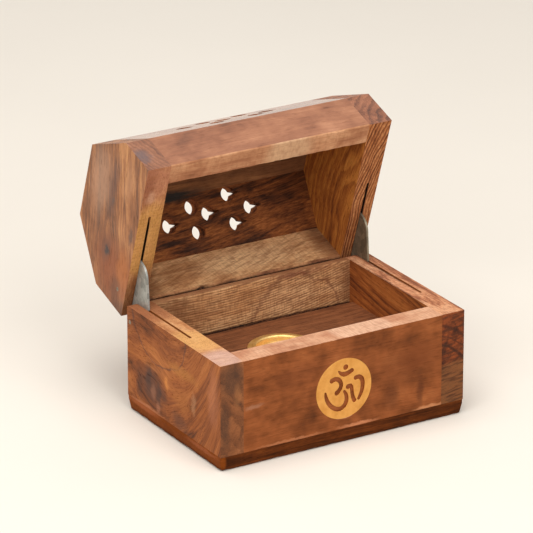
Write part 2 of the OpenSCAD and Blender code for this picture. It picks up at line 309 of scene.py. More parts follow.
def sawMarks(wood, box, saw):
    tilted = wood.node("ShaderNodeMapping", {}, {"Vector": box, "Rotation": saw["turn"]})
    marks = wood.cloud(tilted, saw["grit"], 3, 0.6)
    if saw["pitch"]:                                   # evenly spaced teeth marks round a far centre
        strokes = reachOf(wood, box, saw["centre"], (saw["pitch"] / math.tau,) * 3) + marks * 7
        marks = marks * 0.6 + 0.22 + strokes.sum("SINE") * 0.12
    return marks


def timber(name, look):
    wood = Finish(name, {"Specular IOR Level": look["gloss"], "Coat Weight": look["waxed"],
                         "Coat Roughness": 0.2})
    box = shutBox(wood, look["body"])
    log = intoLog(wood, box, look)
    radius = reachOf(wood, log, (0, 0, 0), (1 / look["taper"], 1, 1))
    turns = radius / look["ring"] + wood.cloud(log, treeGrain["wander"], 2) * treeGrain["wanderBy"]
    year = turns.sum("FRACT")
    late = wood.ease(year, 0.2, 0.85) * wood.ease(year, 0.87, 1.0, 1.0, 0.0)   # darkens slowly, ends sooner
    season = wood.bands(turns, treeGrain["seasons"], 1.0)
    figure = wood.cloud(log, look["figureSize"], look["figureDetail"], 0.6)
    streak = wood.cloud(log, look["streakSize"], 5, 0.65)
    vein = wood.ease(wood.cloud(log, treeGrain["vein"], 2, 0.5), *treeGrain["veinEdge"])
    fibre = wood.cloud(log, treeGrain["fibre"], 3, 0.65)
    pores = wood.ease(wood.cloud(log, treeGrain["pore"], 1), *treeGrain["poreEdge"])
    tone = (0.5 + (figure - 0.5) * look["figured"] + (late * season - 0.2) * look["ringed"]
            + (streak - 0.5) * look["streaked"] + (fibre - 0.5) * look["fibred"] + vein * look["veined"])
    stops = [(place, tint(*c)) for place, c in zip(toneStops, look["tones"])]
    colour = wood.node("ShaderNodeValToRGB", {"stops": stops}, {"Fac": tone})
    for patch in look["patches"]:
        colour = addMark(wood, colour, box, fibre, patch)
    poreColour = tint(*[c * 0.5 for c in look["tones"][3]])
    colour = wood.mix(pores * look["pored"], colour, poreColour)

    height = fibre * 0.6 - pores * 0.8 + late * 0.2
    for saw in look["sawn"]:
        marks = sawMarks(wood, box, saw)
        height = height - marks * saw["deep"]
        colour = wood.mix(wood.ease(marks, 0.42, 0.66, 0, saw["shade"]), colour, saw["colour"])
    wood.shade("Base Color", colour)
    wood.shade("Roughness", look["rough"] + fibre * 0.12 + pores * 0.2 + (figure - 0.5) * 0.25)
    wood.bump(height, look["relief"], treeGrain["depth"] * mm)
    return wood.material


squareOn = 0.94                                        # how straight a face looks along an axis
boardMesh = {"merge": 0.004, "boreFace": 9, "boreTilt": 0.3, "flat": 0.6, "smooth": 20}   # angles in degrees
sanding = {"shortest": 3, "cut": 0.8, "step": 0.45, "seed": (7.3, 3.1, 5.7)}   # lengths in millimetres
chipLayers = ((0.22, 0.12, 2.2), (0.7, 0, 0.5))        # splinters, then a wobble: how often, from, how deep


def sideOf(face):                                      # which way a face of the shut box looks
    n = face.normal
    for value, names in ((n.x, ("left", "right")), (n.y, ("front", "back")), (n.z, ("under", "top"))):
        if abs(value) > squareOn:
            return names[value > 0]
    return "slopeOut" if n.z > 0 else "slopeIn"


def cadCopy(node):                                     # a CAD node's mesh, merged, flat faces made whole
    shape = bmesh.new()
    shape.from_mesh(cad[node].data)
    bmesh.ops.remove_doubles(shape, verts=shape.verts, dist=boardMesh["merge"] * mm)
    bmesh.ops.dissolve_limit(shape, angle_limit=math.radians(boardMesh["flat"]), verts=shape.verts,
                             edges=shape.edges, use_dissolve_boundaries=False)
    return shape


def chipOf(place):                                     # how deep an edge is worn at a place
    return sum(max(0, noise.noise(place * often) - least) * deep for often, least, deep in chipLayers)


def easeEdges(shape, ease, seed):                      # hand-sanded, lightly chipped edges; gives their faces
    first, last = [y * mm for y in ease["within"]]

    def meets():
        return [e for e in shape.edges if e.is_manifold
                and frozenset(sideOf(f) for f in e.link_faces) in ease["pairs"]]

    for edge in meets():
        if edge.calc_length() > sanding["shortest"] * mm:
            cuts = int(edge.calc_length() / (sanding["cut"] * mm))
            bmesh.ops.subdivide_edges(shape, edges=[edge], cuts=cuts)
    shape.normal_update()
    picked = [e for e in meets() if e.is_convex and first < (e.verts[0].co.y + e.verts[1].co.y) / 2 < last]
    segments = 2 + int(ease["width"] / sanding["step"])
    made = bmesh.ops.bevel(shape, geom=picked, offset=ease["width"] * mm, offset_type="OFFSET",
                           affect="EDGES", segments=segments, profile=0.5, material=-1, clamp_overlap=True)
    shape.normal_update()
    fresh = set(made["faces"])
    offset = Vector([seed * s for s in sanding["seed"]])
    sunk = [(v, v.normal * chipOf(v.co / mm + offset) * ease["chips"] * mm) for v in made["verts"]
            if fresh.issuperset(v.link_faces)]
    for vert, move in sunk:
        vert.co -= move
    return made["faces"]


def finishPiece(name, shape, cfg, materials):
    piece = bpy.data.objects.new(name, meshOf(name, shape, materials))
    scene.collection.objects.link(piece)
    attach(piece, cfg["body"])
    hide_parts(cfg["node"])
    print("piece:", name, len(piece.data.polygons), "faces")


def makeBoard(name, board):
    board = {**plainWood, **board}
    shape = cadCopy(board["node"])
    if board["body"] == "lid":
        bmesh.ops.transform(shape, matrix=shutLid, verts=shape.verts)
        shape.normal_update()
    faces = board["faces"]
    order = list(faces)
    turned = {side: order.index(key) for key in order for side in faces[key]["sides"]}
    broad = max(shape.faces, key=lambda face: face.calc_area()).normal.copy()
    for face in shape.faces:
        face.material_index = turned.get(sideOf(face), 0)
        small = face.calc_area() < boardMesh["boreFace"] * mm * mm
        if "bore" in order and small and abs(face.normal.dot(broad)) < boardMesh["boreTilt"]:
            face.material_index = order.index("bore")  # the wall of a hole
    for count, ease in enumerate(board["eased"]):
        for face in easeEdges(shape, ease, len(name) + count):
            face.material_index = order.index(ease["look"])
    for edge in shape.edges:
        edge.smooth = edge.is_manifold and edge.calc_face_angle() < math.radians(boardMesh["smooth"])
    if board["body"] == "lid":
        bmesh.ops.transform(shape, matrix=openLid, verts=shape.verts)
    looks = [timber(name + key[0].upper() + key[1:], {**board, **faces[key]}) for key in order]
    finishPiece(name, shape, board, looks)


# base boards

wellFrom, wellTo = -23.7, 29.2                         # the base's opening and the shut lid's, front to back
domeFrom, domeTo = -24.8, 27.6

frontBoard = {
    "node": "base_front_board", "body": "base", "slot": "front_wood", "grain": "x", "heart": (0, 52, -12),
    "ring": 3.4, "swirl": 9, "figured": 1.1, "figureSize": (0.1, 0.11, 0.11), "figureDetail": 2.5,
    "ringed": 0.12, "streaked": 0.35, "fibred": 0.3, "veined": 0.04, "pored": 0.2,
    "eased": [
        sanded("rim", 0.65, 0.8, "front top", "back top"),
        sanded("outside", 0.16, 0.1, "front under")],
    "faces": {
        "outside": {
            "sides": ("front",), "rough": 0.5, "gloss": 0.12,
            "tones": [(157, 91, 48), (139, 76, 37), (114, 60, 26), (72, 37, 15)],
            "patches": [
                mark((20, -33, 14), (4, 4, 7), 0.55, (90, 48, 23)),
                mark((32, -33, 13), (2, 3, 8), 0.6, (84, 43, 21)),
                mark((25, -33, 24), (16, 4, 10), 0.5, (112, 60, 28)),
                mark((-20, -33, 30), (12, 4, 6), 0.3, (112, 58, 30)),
                mark((-37, -33, 22.3), (5, 3, 1.2), 0.4, (178, 130, 102), stray=3, ragged=0.3),
                mark((32, -33, 27), (14, 4, 7), 0.5, (112, 56, 24)),
                mark((6, -33, 6.1), (10, 3, 1), 0.9, (190, 122, 82), stray=2, ragged=0.4),   # rubbed foot
                mark((36, -33, 6.1), (8, 3, 0.9), 0.9, (188, 126, 84), stray=2, ragged=0.4),
                mark((-22, -33, 6), (18, 3, 0.7), 0.7, (176, 112, 74), stray=2, ragged=0.5)]},
        "rim": {
            "sides": ("top",), "rough": 0.7, "gloss": 0.2, "relief": 0.5,
            "tones": [(228, 178, 142), (213, 160, 124), (194, 136, 102), (150, 98, 70)],
            "patches": [mark((10, -28, 40.4), (12, 9, 4), 0.5, (236, 194, 162), core=0.86, stray=2)],
            "sawn": [sawn((1.3, 0.2, 0.2), 0.35, (160, 102, 74))]},
        "inside": {
            "sides": ("back", "left", "right", "under"), "rough": 0.65,
            "tones": [(176, 116, 72), (156, 98, 58), (134, 80, 46), (90, 52, 30)]}}}
makeBoard("frontBoard", frontBoard)

leftEnd = {
    "node": "base_left_end", "body": "base", "slot": "end_wood", "grain": "y", "heart": (10, 8, -30),
    "lean": (-0.15, 0, 0), "ring": 5.0, "swirl": 20, "swirlSize": (0.024, 0.034, 0.034), "figured": 0.7,
    "figureSize": (0.05, 0.09, 0.09), "ringed": 0.25, "streaked": 1.0, "fibred": 0.55, "veined": 0.2,
    "sweeps": [{"from": 6, "rise": 0.028}],
    "knots": [{"at": (-50.6, 14, 16), "reach": (26, 22, 20), "push": 0.8}],
    "eased": [
        sanded("outside", 0.8, 0.35, "left front", "left back", "left top", "front top", "back top"),
        sanded("rim", 0.5, 0.4, "right top", within=(wellFrom, wellTo)),
        sanded("outside", 0.16, 0.1, "left under", "front under", "back under")],
    "faces": {
        "outside": {
            "sides": ("left", "back", "under"), "rough": 0.48, "gloss": 0.16,
            "tones": [(186, 113, 55), (158, 89, 40), (128, 68, 29), (76, 41, 20)],
            "patches": [
                mark((-50.6, 10, 39), (18, 18.5, 13.7), 0.6, (80, 52, 44), core=0.1, stray=5, ragged=0.1,
                     line=0.04),
                mark((-50.6, 15, 16), (5, 10, 11), 0.75, (86, 56, 44), stray=14),   # the knot
                mark((-50.6, 18, 18), (4, 2.4, 8), 0.55, (62, 46, 42), stray=6, ragged=0.25),
                mark((-50.6, 10.5, 14), (4, 2.2, 6), 0.6, (64, 46, 41), stray=6, ragged=0.25),
                mark((-50.6, 14.4, 13.6), (4, 2, 4), 0.55, (150, 100, 74), stray=4, ragged=0.3),
                mark((-50.6, 24, 13), (4, 3, 8), 0.6, (84, 50, 36), stray=5),
                mark((-50.6, 11, 8.5), (4, 1.8, 3), 0.6, (172, 112, 80), stray=3),
                mark((-50.6, 4.6, 20.2), (4, 2.2, 3), 0.8, (206, 130, 62), stray=5, ragged=0.25),
                mark((-50.6, -6, 28), (4, 14, 2.2), 0.6, (176, 112, 50), stray=6),
                mark((-50.6, -4, 8.5), (4, 8, 4), 0.6, (88, 52, 38), stray=6),
                mark((-50.6, -14, 19), (4, 2.5, 5), 0.45, (192, 138, 96), stray=6, ragged=0.25),
                mark((-50.6, -6, 17), (4, 9, 5), 0.4, (166, 100, 44), stray=8),
                mark((-50.6, -28, 26), (4, 5, 14), 0.5, (180, 112, 76), stray=6),
                mark((-50.6, 20, 6), (4, 15, 0.9), 0.75, (180, 112, 72), stray=2)]},   # rubbed foot
        "strip": {
            "sides": ("front",), "rough": 0.5, "gloss": 0.16, "pored": 0.3, "streaked": 0.5,
            "fibred": 0.3,
            "tones": [(164, 106, 66), (136, 82, 47), (108, 63, 35), (60, 38, 27)],
            "patches": [
                mark((-46, -33, 34), (6, 5, 9), 0.75, (76, 50, 35), stray=6),
                mark((-49, -33, 17), (3, 5, 12), 0.75, (76, 49, 34), stray=4),
                mark((-44, -33, 28), (2, 5, 6), 0.5, (150, 96, 56), stray=4)]},
        "rim": {
            "sides": ("top",), "rough": 0.7, "gloss": 0.2, "relief": 0.5,
            "tones": [(224, 170, 120), (208, 148, 98), (186, 124, 78), (130, 80, 50)],
            "patches": [
                mark((-46, -27, 40.4), (9, 10, 4), 0.7, (210, 172, 158), core=0.5),
                mark((-46, -8, 40.4), (9, 12, 4), 0.6, (226, 172, 102), core=0.5),
                mark((-46, 26, 40.4), (9, 16, 4), 0.75, (156, 94, 60), core=0.5)],
            "sawn": [sawn((0.2, 1.1, 0.2), 0.3, (152, 96, 64))]},
        "inside": {
            "sides": ("right",), "rough": 0.65,
            "tones": [(176, 112, 62), (150, 88, 44), (124, 66, 30), (70, 36, 18)]}}}
makeBoard("leftEnd", leftEnd)

rightEnd = {
    "node": "base_right_end", "body": "base", "slot": "end_wood", "grain": "y", "heart": (30, 40, -40),
    "lean": (-0.1, 0, 0), "ring": 3.2, "swirl": 9, "taper": 0.05, "figured": 0.4, "ringed": 0.4,
    "streaked": 1.0, "streakSize": (0.01, 0.2, 0.2), "fibred": 0.7,
    "eased": [
        sanded("outside", 0.7, 0.35, "right front", "right back", "right top", "front top", "back top"),
        sanded("rim", 1.1, 1.1, "left top", within=(wellFrom, wellTo)),
        sanded("outside", 0.16, 0.1, "right under", "front under", "back under")],
    "faces": {
        "outside": {
            "sides": ("right", "back", "under"), "rough": 0.48, "gloss": 0.16,
            "tones": [(180, 112, 64), (154, 87, 46), (126, 67, 35), (74, 39, 23)]},
        "strip": {
            "sides": ("front",), "rough": 0.5, "gloss": 0.16, "pored": 0.2, "ringed": 0.3,
            "streaked": 0.4, "fibred": 0.35,
            "tones": [(156, 80, 36), (130, 62, 26), (102, 47, 19), (54, 25, 12)],
            "patches": [
                mark((30, -33, 5), (33, 20, 33), 0.7, (46, 21, 11), core=0.1, stray=3, ragged=0.1,
                     line=0.03),
                mark((30, -33, 5), (29.5, 20, 29.5), 0.6, (48, 23, 12), core=0.1, stray=3, ragged=0.1,
                     line=0.02),
                mark((30, -33, 5), (26.5, 20, 26.5), 0.8, (44, 21, 11), core=0.1, stray=3, ragged=0.1,
                     line=0.03),
                mark((47, -33, 11), (14, 9, 10.2), 0.75, (118, 76, 42), core=0.92, stray=2)],   # paler below
            "sawn": [sawn((0.12, 0.3, 0.8), 0.8, (62, 33, 17), turn=(0, 0.15, 0))]},
        "rim": {
            "sides": ("top",), "rough": 0.7, "gloss": 0.2, "relief": 0.6, "ringed": 0.6, "fibred": 1.3,
            "tones": [(226, 168, 126), (206, 143, 102), (182, 116, 79), (122, 70, 45)],
            "patches": [
                mark((41.25, 2, 40.4), (1, 28, 1.4), 0.9, (92, 50, 26), stray=2.4, ragged=0.5),
                mark((45.95, 12, 40.4), (1, 24, 3), 0.8, (70, 38, 22), stray=1.6, ragged=0.7)],   # painted shade along the kerf
            "sawn": [sawn((0.25, 1.0, 0.2), 0.45, (140, 84, 58), turn=(0, 0, 0.5))]},
        "inside": {
            "sides": ("left",), "rough": 0.65, "ringed": 0.42, "ring": 2.2, "streaked": 0.6,
            "veined": 0.05,
            "tones": [(200, 126, 62), (172, 98, 43), (140, 74, 30), (92, 47, 20)]}}}
makeBoard("rightEnd", rightEnd)

backBoard = {
    "node": "base_back_board", "body": "base", "slot": "back_wood", "grain": "x", "heart": (0, -60, -20),
    "ring": 3.6, "swirl": 10, "figured": 0.6, "ringed": 0.15, "streaked": 0.5, "fibred": 0.6,
    "veined": 0.05,
    "eased": [
        sanded("inside", 0.4, 0.3, "front top"),
        sanded("outside", 0.16, 0.1, "back under")],
    "faces": {
        "inside": {
            "sides": ("front", "left", "right", "under"), "rough": 0.75, "gloss": 0.2, "relief": 0.8,
            "tones": [(234, 186, 136), (218, 165, 114), (194, 138, 90), (138, 89, 55)],
            "patches": [
                mark((18, 29, 20), (20, 14, 20), 0.55, (112, 62, 46), core=0.1, stray=13, ragged=0.09,
                     line=0.05),
                mark((20, 29, 39.6), (18, 9, 1.4), 0.5, (140, 80, 58), stray=3, ragged=0.3),
                # painted shade: darker towards both inner corners
                mark((-36, 29, 33), (14, 9, 12), 0.5, (118, 74, 44)),
                mark((41, 29, 33), (6, 9, 14), 0.5, (128, 78, 48)),
                mark((14, 29, 31), (16, 9, 9), 0.35, (230, 182, 134)),
                mark((0, 29, 19.8), (90, 9, 4.5), 1.3, (22, 13, 8), core=0.97, stray=0.8,
                     ragged=0.7)],                     # painted shade in the gap behind the floor panel
            "sawn": [
                sawn((0.12, 0.3, 1.1), 0.7, (112, 66, 40), deep=2, centre=(-20, 29, 250), pitch=0.95),
                sawn((1.6, 0.3, 0.3), 0.4, (120, 76, 46))]},
        "outside": {
            "sides": ("back",), "rough": 0.48, "gloss": 0.2,
            "tones": [(178, 110, 62), (152, 86, 46), (124, 67, 35), (76, 42, 24)]},
        "rim": {
            "sides": ("top", "slopeOut"), "rough": 0.7, "gloss": 0.2,
            "tones": [(196, 144, 100), (178, 124, 83), (156, 101, 65), (112, 69, 44)],
            "sawn": [sawn((1.1, 0.2, 0.2), 0.4, (150, 92, 60))]}}}
makeBoard("backBoard", backBoard)

bottomPlank = {
    "node": "bottom_board", "body": "base", "slot": "floor_wood", "grain": "x", "heart": (0, 40, 26),
    "ring": 3.0, "swirl": 8, "figured": 0.8, "ringed": 0.3, "streaked": 0.9, "fibred": 0.9,
    "eased": [
        sanded("outside", 0.8, 0.3, "left under", "front under", "right under", "back under"),
        sanded("outside", 0.6, 0.2, "left front", "left back", "right front", "right back"),
        sanded("outside", 0.16, 0.1, "left top", "front top", "right top", "back top")],
    "faces": {
        "outside": {
            "sides": ("front", "left", "right", "back", "top"), "rough": 0.55, "gloss": 0.05,
            "tones": [(118, 61, 22), (93, 45, 15), (73, 34, 10), (42, 20, 7)],
            "patches": [
                mark((-50.6, 0, 3), (3, 50, 9), 0.55, (148, 73, 16), core=0.8, stray=3),
                mark((-50.6, 22, 5), (4, 15, 1.8), 0.7, (166, 94, 56), stray=2, ragged=0.3),
                mark((-50.6, -20, 4.4), (4, 14, 1.2), 0.5, (164, 96, 62), stray=2, ragged=0.3),
                # painted contact shadow: darker along the bottom of the left side
                mark((-50.6, 0, -0.4), (4, 90, 2.6), 0.8, (68, 32, 8), stray=1.5, ragged=0.3)]},
        "under": {
            "sides": ("under",), "rough": 0.75, "gloss": 0.2,
            "tones": [(186, 130, 84), (164, 108, 66), (140, 86, 50), (92, 54, 32)],
            "sawn": [sawn((0.1, 1.2, 0.3), 0.5, (112, 70, 42))]}}}
makeBoard("bottomPlank", bottomPlank)

floorPanel = {
    "node": "floor_panel", "body": "base", "slot": "floor_wood", "grain": "x", "heart": (0, 10, -44),
    "ring": 2.8, "swirl": 7, "figured": 0.6, "ringed": 0.2, "streaked": 0.6, "fibred": 1.0, "veined": 0.1,
    "faces": {
        "inside": {
            "sides": ("top", "front", "back", "left", "right", "under"), "rough": 0.62, "gloss": 0.22,
            "relief": 0.5,
            "tones": [(156, 98, 60), (134, 80, 48), (110, 64, 37), (72, 40, 23)]}}}
makeBoard("floorPanel", floorPanel)

# lid boards, set out as if the lid were shut

lidLeftEnd = {
    "node": "lid_left_end", "body": "lid", "slot": "lid_end_wood", "grain": "y", "lean": (0.24, 0, 0),
    "heart": (0, 24, -72), "ring": 1.7, "swirl": 5, "swirlSize": (0.014, 0.05, 0.05), "figured": 0.5,
    "ringed": 0.3, "streaked": 1.1, "streakSize": (0.007, 0.24, 0.24), "fibred": 1.0, "veined": 0.15,
    "knots": [{"at": (-50.6, 15, 57), "reach": (14, 14, 9), "push": 0.8}],
    "eased": [
        sanded("outside", 2.0, 0.4, "left front"),
        sanded("outside", 1.0, 0.4, "left slopeOut", "left top", "left back", "left under", "front under",
               "back under"),
        sanded("rim", 0.5, 0.4, "right under", within=(domeFrom, domeTo))],
    "faces": {
        "outside": {
            "sides": ("left", "back", "slopeOut", "top"), "rough": 0.42, "gloss": 0.5,
            "tones": [(198, 136, 80), (166, 104, 56), (132, 78, 39), (78, 46, 25)],
            "patches": [
                mark((-50.6, -12, 60.5), (5, 17, 4), 0.55, (104, 70, 58), stray=8),
                mark((-50.6, -20, 51), (5, 12, 5), 0.45, (194, 138, 94), stray=6),
                mark((-50.6, -8, 69), (5, 18, 9), 0.5, (204, 154, 120), stray=6),
                mark((-45.95, 10, 44), (2.2, 18, 14), 1.4, (40, 24, 14), core=0.95, stray=0),   # painted shade in the kerf
                mark((-50.6, 20, 50), (5, 16, 18), 0.75, (146, 72, 20), stray=8),
                mark((-50.6, 16, 45), (5, 11, 5), 0.6, (180, 102, 34), stray=6),
                # painted shade at the lower back corner
                mark((-50.6, 33, 41), (5, 7, 10), 0.7, (84, 45, 20), stray=5),
                mark((-50.6, 15, 57.5), (5, 7, 4.5), 0.6, (104, 62, 42), stray=5),
                mark((-50.6, 15, 57.2), (4, 2.4, 2.2), 0.9, (58, 44, 40), stray=4, ragged=0.4),   # the knot
                mark((-50.6, -6, 58.6), (4, 2.6, 1.1), 0.6, (92, 74, 66), stray=3, ragged=0.4),
                mark((-50.6, -1, 43.8), (4, 5, 1.8), 0.7, (80, 58, 50), stray=5, ragged=0.3),
                mark((-50.6, 26, 48), (4, 6, 5), 0.5, (92, 56, 34), stray=6)]},
        "strip": {
            "sides": ("front",), "rough": 0.45, "gloss": 0.5, "fibred": 0.3, "pored": 0.1,
            "streaked": 0.5,
            "tones": [(166, 114, 84), (142, 91, 62), (116, 71, 48), (70, 47, 36)],
            "patches": [mark((-48.5, -33, 48.5), (5, 5, 5), 0.65, (90, 78, 80), stray=8, ragged=0.2)]},
        "rim": {
            "sides": ("under",), "rough": 0.7, "gloss": 0.2, "ringed": 0.15,
            "tones": [(208, 156, 108), (188, 132, 88), (164, 108, 67), (108, 66, 40)],
            "patches": [
                mark((-46, -1, 40.5), (9, 18, 5), 0.6, (198, 146, 76), core=0.7),
                mark((-46, -30, 40.5), (9, 15, 5), 0.75, (168, 110, 84), core=0.5),
                mark((-49, -24, 40.5), (4, 11, 4), 0.7, (132, 78, 56), stray=5, ragged=0.2),
                mark((-47.5, -20, 40.5), (2.4, 3.5, 3), 0.6, (198, 152, 122), stray=3, ragged=0.3),
                mark((-46, 27, 40.5), (9, 15, 5), 0.8, (98, 57, 29), core=0.4)],
            "sawn": [sawn((0.2, 1.0, 0.2), 0.3, (136, 82, 44))]},
        "inside": {
            "sides": ("right",), "rough": 0.65,
            "tones": [(188, 124, 66), (160, 96, 46), (130, 72, 32), (76, 40, 18)],
            # painted shade in the kerf
            "patches": [mark((-45.95, 10, 44), (2.2, 40, 30), 1.4, (40, 24, 14), core=0.95, stray=0)]}}}
makeBoard("lidLeftEnd", lidLeftEnd)

lidRightEnd = {
    "node": "lid_right_end", "body": "lid", "slot": "lid_end_wood", "grain": "y", "heart": (-20, 56, -42),
    "ring": 2.3, "swirl": 9, "swirlSize": (0.03, 0.03, 0.03), "taper": 0.36, "figured": 0.5,
    "ringed": 0.55, "streaked": 0.6, "streakSize": (0.015, 0.25, 0.25), "fibred": 0.7, "veined": 0.1,
    "eased": [
        sanded("outside", 1.2, 0.4, "right front"),
        sanded("outside", 0.7, 0.4, "right slopeOut", "right top", "right back", "right under",
               "front under", "back under"),
        sanded("rim", 0.8, 0.6, "left under", within=(domeFrom, domeTo))],
    "faces": {
        "outside": {
            "sides": ("right", "back", "slopeOut", "top"), "rough": 0.44, "gloss": 0.4,
            "tones": [(184, 118, 72), (158, 94, 54), (130, 73, 41), (82, 44, 26)]},
        "strip": {
            "sides": ("front",), "rough": 0.45, "gloss": 0.5, "ringed": 0.5,
            "tones": [(164, 106, 74), (138, 84, 56), (110, 64, 41), (66, 38, 25)]},
        "rim": {
            "sides": ("under",), "rough": 0.78, "gloss": 0.2, "relief": 0.8, "ring": 1.1, "ringed": 0.9,
            "tones": [(200, 138, 88), (174, 109, 63), (143, 82, 44), (88, 47, 24)],
            "sawn": [
                sawn((0.5, 0.9, 0.3), 0.3, (112, 60, 32), turn=(0, 0, 0.5)),
                sawn((1.5, 1.1, 1.5), 0.35, (112, 58, 28))]},
        "inside": {
            "sides": ("left",), "rough": 0.65, "ringed": 0.35, "streaked": 0.4,
            "tones": [(220, 150, 70), (194, 120, 50), (160, 90, 34), (100, 52, 20)],
            # painted shade in the kerf
            "patches": [mark((45.95, 10, 44), (2.2, 40, 30), 1.4, (40, 24, 14), core=0.95, stray=0)]}}}
makeBoard("lidRightEnd", lidRightEnd)

lidFrontWall = {
    "node": "lid_front_wall", "body": "lid", "slot": "front_wood", "grain": "x", "heart": (0, 58, -70),
    "ring": 3.4, "swirl": 10, "figured": 0.9, "figureSize": (0.09, 0.12, 0.12), "figureDetail": 3,
    "ringed": 0.15, "streaked": 0.5, "fibred": 0.35, "veined": 0.05, "pored": 0.15,
    "eased": [sanded("rim", 0.5, 0.3, "front under", "back under")],
    "faces": {
        "outside": {
            "sides": ("front",), "rough": 0.45, "gloss": 0.5,
            "tones": [(179, 123, 88), (157, 102, 70), (135, 83, 55), (93, 56, 37)]},
        "rim": {
            "sides": ("under",), "rough": 0.7, "gloss": 0.2, "relief": 0.5, "streaked": 0.8,
            "tones": [(212, 163, 124), (190, 138, 100), (164, 110, 77), (114, 70, 47)],
            "patches": [mark((8, -29, 40.5), (11, 9, 5), 0.6, (208, 172, 134), core=0.5, stray=5)],
            "sawn": [sawn((0.7, 0.3, 0.2), 0.3, (136, 84, 54))]},
        "inside": {
            "sides": ("back", "left", "right"), "rough": 0.65,
            "tones": [(182, 124, 76), (158, 102, 60), (132, 80, 46), (88, 50, 30)]}}}
makeBoard("lidFrontWall", lidFrontWall)

slopeTones = {
    "outside": [(182, 116, 76), (158, 94, 59), (132, 74, 45), (84, 46, 29)],
    "inside": [(156, 92, 44), (126, 69, 30), (92, 48, 20), (50, 25, 11)],
    # hole walls lighter than the inside: painted light against the shade in the holes
    "bore": [(184, 112, 62), (154, 88, 47), (122, 66, 33), (74, 38, 18)]}

lidFrontSlope = {
    "node": "lid_front_slope", "body": "lid", "slot": "slope_wood", "grain": "x", "heart": (0, 40, -96),
    "ring": 3.2, "swirl": 10, "figured": 0.7, "ringed": 0.2, "streaked": 0.8, "fibred": 0.5,
    "faces": {
        "inside": {
            "sides": ("slopeIn", "left", "right"), "rough": 0.65,
            "tones": slopeTones["inside"]},
        "outside": {
            "sides": ("slopeOut",), "rough": 0.3, "gloss": 0.6, "waxed": 1.0,
            "tones": [(198, 134, 92), (174, 110, 73), (146, 87, 56), (94, 54, 34)]},
        # hole walls lighter than the inside: painted light against the shade in the holes
        "bore": {
            "sides": (), "rough": 0.85, "gloss": 0.1,
            "tones": [(168, 106, 68), (144, 86, 52), (118, 66, 38), (78, 42, 25)]}}}
makeBoard("lidFrontSlope", lidFrontSlope)

lidTopBoard = {
    "node": "lid_top_board", "body": "lid", "slot": "slope_wood", "grain": "x", "heart": (0, 8, -120),
    "ring": 3.0, "swirl": 9, "figured": 0.6, "ringed": 0.2, "streaked": 0.8, "fibred": 0.5,
    "faces": {
        "inside": {
            "sides": ("under", "left", "right", "slopeIn"), "rough": 0.65,
            "tones": [(158, 108, 68), (132, 86, 52), (106, 67, 40), (62, 40, 26)],
            "patches": [mark((-24, 11.6, 73.5), (26, 4, 3), 1.2, (44, 41, 38), stray=2, ragged=0.3)]},
        "outside": {
            "sides": ("top",), "rough": 0.44, "gloss": 0.4,
            "tones": slopeTones["outside"]}}}
makeBoard("lidTopBoard", lidTopBoard)

lidBackSlope = {
    "node": "lid_back_slope", "body": "lid", "slot": "slope_wood", "grain": "x", "heart": (0, -50, -84),
    "lean": (0, 0.2, 0), "ring": 3.4, "swirl": 9, "figured": 0.6, "ringed": 0.3, "streaked": 1.0,
    "streakSize": (0.012, 0.16, 0.16), "fibred": 1.0, "veined": 0.3,
    "faces": {
        "inside": {
            "sides": ("slopeIn", "left", "right"), "rough": 0.6, "gloss": 0.16, "relief": 0.5,
            "tones": slopeTones["inside"],
            "patches": [mark((-22, 12.2, 73.2), (24, 2, 2), 1.0, (44, 38, 33), stray=2, ragged=0.3)]},
        "outside": {
            "sides": ("slopeOut",), "rough": 0.44, "gloss": 0.4,
            "tones": slopeTones["outside"]},
        "bore": {
            "sides": (), "rough": 0.85, "gloss": 0.1,
            "tones": slopeTones["bore"]}}}
makeBoard("lidBackSlope", lidBackSlope)

lidBackWall = {
    "node": "lid_back_wall", "body": "lid", "slot": "back_wood", "grain": "x", "heart": (0, -70, -60),
    "ring": 3.6, "swirl": 10, "figured": 1.0, "ringed": 0.15, "streaked": 0.6, "fibred": 0.6,
    "veined": 0.05,
    "eased": [
        sanded("rim", 0.9, 0.8, "front under"),
        sanded("outside", 0.4, 0.2, "back under")],
    "faces": {
        "inside": {
            "sides": ("front", "left", "right", "slopeIn"), "rough": 0.75, "gloss": 0.2, "relief": 0.9,
            "tones": [(230, 184, 134), (214, 162, 112), (188, 132, 86), (132, 84, 52)],
            "patches": [
                # painted shade: darker towards both inner corners
                mark((-40, 28, 52), (10, 9, 20), 0.7, (112, 68, 38)),
                mark((41, 28, 52), (9, 9, 20), 0.7, (108, 64, 36)),
                mark((6, 28, 50), (26, 9, 8), 0.55, (238, 194, 144))],
            "sawn": [
                sawn((0.14, 0.3, 1.1), 0.5, (130, 80, 47), turn=(0, 0.35, 0)),
                sawn((1.4, 0.3, 0.3), 0.3, (140, 88, 53), turn=(0, 0.2, 0))]},
        "outside": {
            "sides": ("back",), "rough": 0.44, "gloss": 0.4,
            "tones": slopeTones["outside"]},
        "rim": {
            "sides": ("under",), "rough": 0.7, "gloss": 0.2,
            "tones": [(204, 152, 106), (184, 130, 87), (158, 105, 67), (108, 66, 42)],
            "patches": [
                mark((10, 30, 40.5), (7, 6, 4), 0.6, (116, 62, 42)),
                mark((31, 30, 40.5), (6, 6, 4), 0.6, (112, 60, 40)),
                # painted shadow over most of the rim, at the gap above the base
                mark((0, 33, 40.5), (300, 4.8, 9), 1.3, (40, 25, 14), core=0.86, stray=1, ragged=0.3)],
            "sawn": [sawn((1.1, 0.3, 0.2), 0.4, (110, 66, 42))]}}}
makeBoard("lidBackWall", lidBackWall)

# brass

